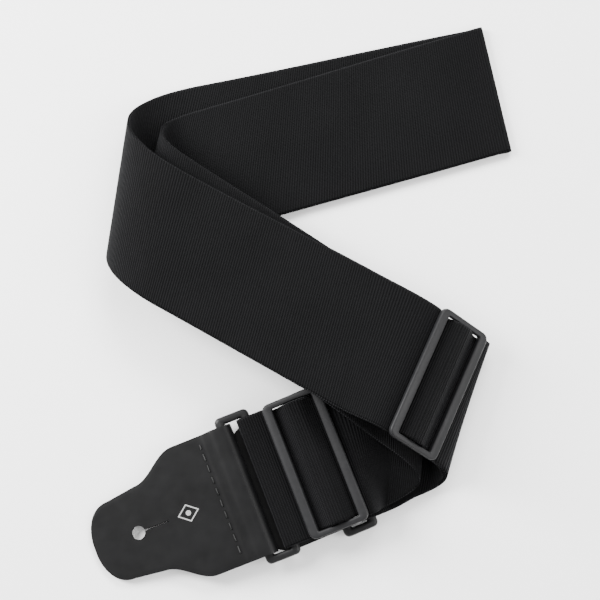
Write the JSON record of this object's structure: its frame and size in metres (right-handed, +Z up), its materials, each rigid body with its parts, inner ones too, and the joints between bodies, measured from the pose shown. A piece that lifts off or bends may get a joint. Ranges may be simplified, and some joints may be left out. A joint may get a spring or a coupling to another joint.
{
  "type": "guitar strap",
  "caption": "Wide webbing guitar strap with leather ends, rectangular loops and tri-glide sliders, folded in half and laid down in a loose Z.",
  "frame": {"origin": "middle of the bounding box on the surface that the strap lies on", "axes": "+Z up, out of the surface; +Y along the longest side of the laid-down strap, from the leather ends to the half-way crease; +X to the right seen from the leather ends"},
  "size_m": [0.2398, 0.321, 0.0434],
  "materials": {
    "webbing": "ribbed woven webbing, black, dull",
    "slider_plastic": "fine grain, black",
    "loop_plastic": "smooth, black, satin",
    "leather": "smooth black leather, semi-gloss",
    "thread": "black sewing thread"
  },
  "bodies": {
    "strap": {"main_webbing": "webbing", "loop_2": "loop_plastic", "leather_end_2": "leather", "leather_thread_2": "thread"},
    "slider_1": {"slider_1": "slider_plastic"},
    "slider_2": {"slider_2": "slider_plastic"},
    "loop_1": {"loop_1": "loop_plastic"},
    "leather_1": {"leather_end_1": "leather", "leather_thread_1": "thread"}
  },
  "joints": [
    {"name": "slider_1_slide", "type": "slide", "parent": "strap", "child": "slider_1", "axis": [-0.9189, -0.3583, -0.1651], "range_m": [-0.006, 0.004], "deforming": ["main_webbing"]},
    {"name": "slider_2_slide", "type": "slide", "parent": "strap", "child": "slider_2", "axis": [0.7497, -0.4156, -0.515], "range_m": [-0.01, 0.002], "deforming": ["main_webbing"]},
    {"name": "loop_1_hinge", "type": "hinge", "parent": "strap", "child": "loop_1", "pos_m": [-0.02009, -0.10616, 0.00973], "axis": [-0.3634, 0.9317, 0], "range_deg": [0, 30]},
    {"name": "leather_1_hinge", "type": "hinge", "parent": "loop_1", "child": "leather_1", "pos_m": [-0.03387, -0.11153, 0.00941], "axis": [-0.3634, 0.9317, 0], "range_deg": [0, 60]}
  ]
}
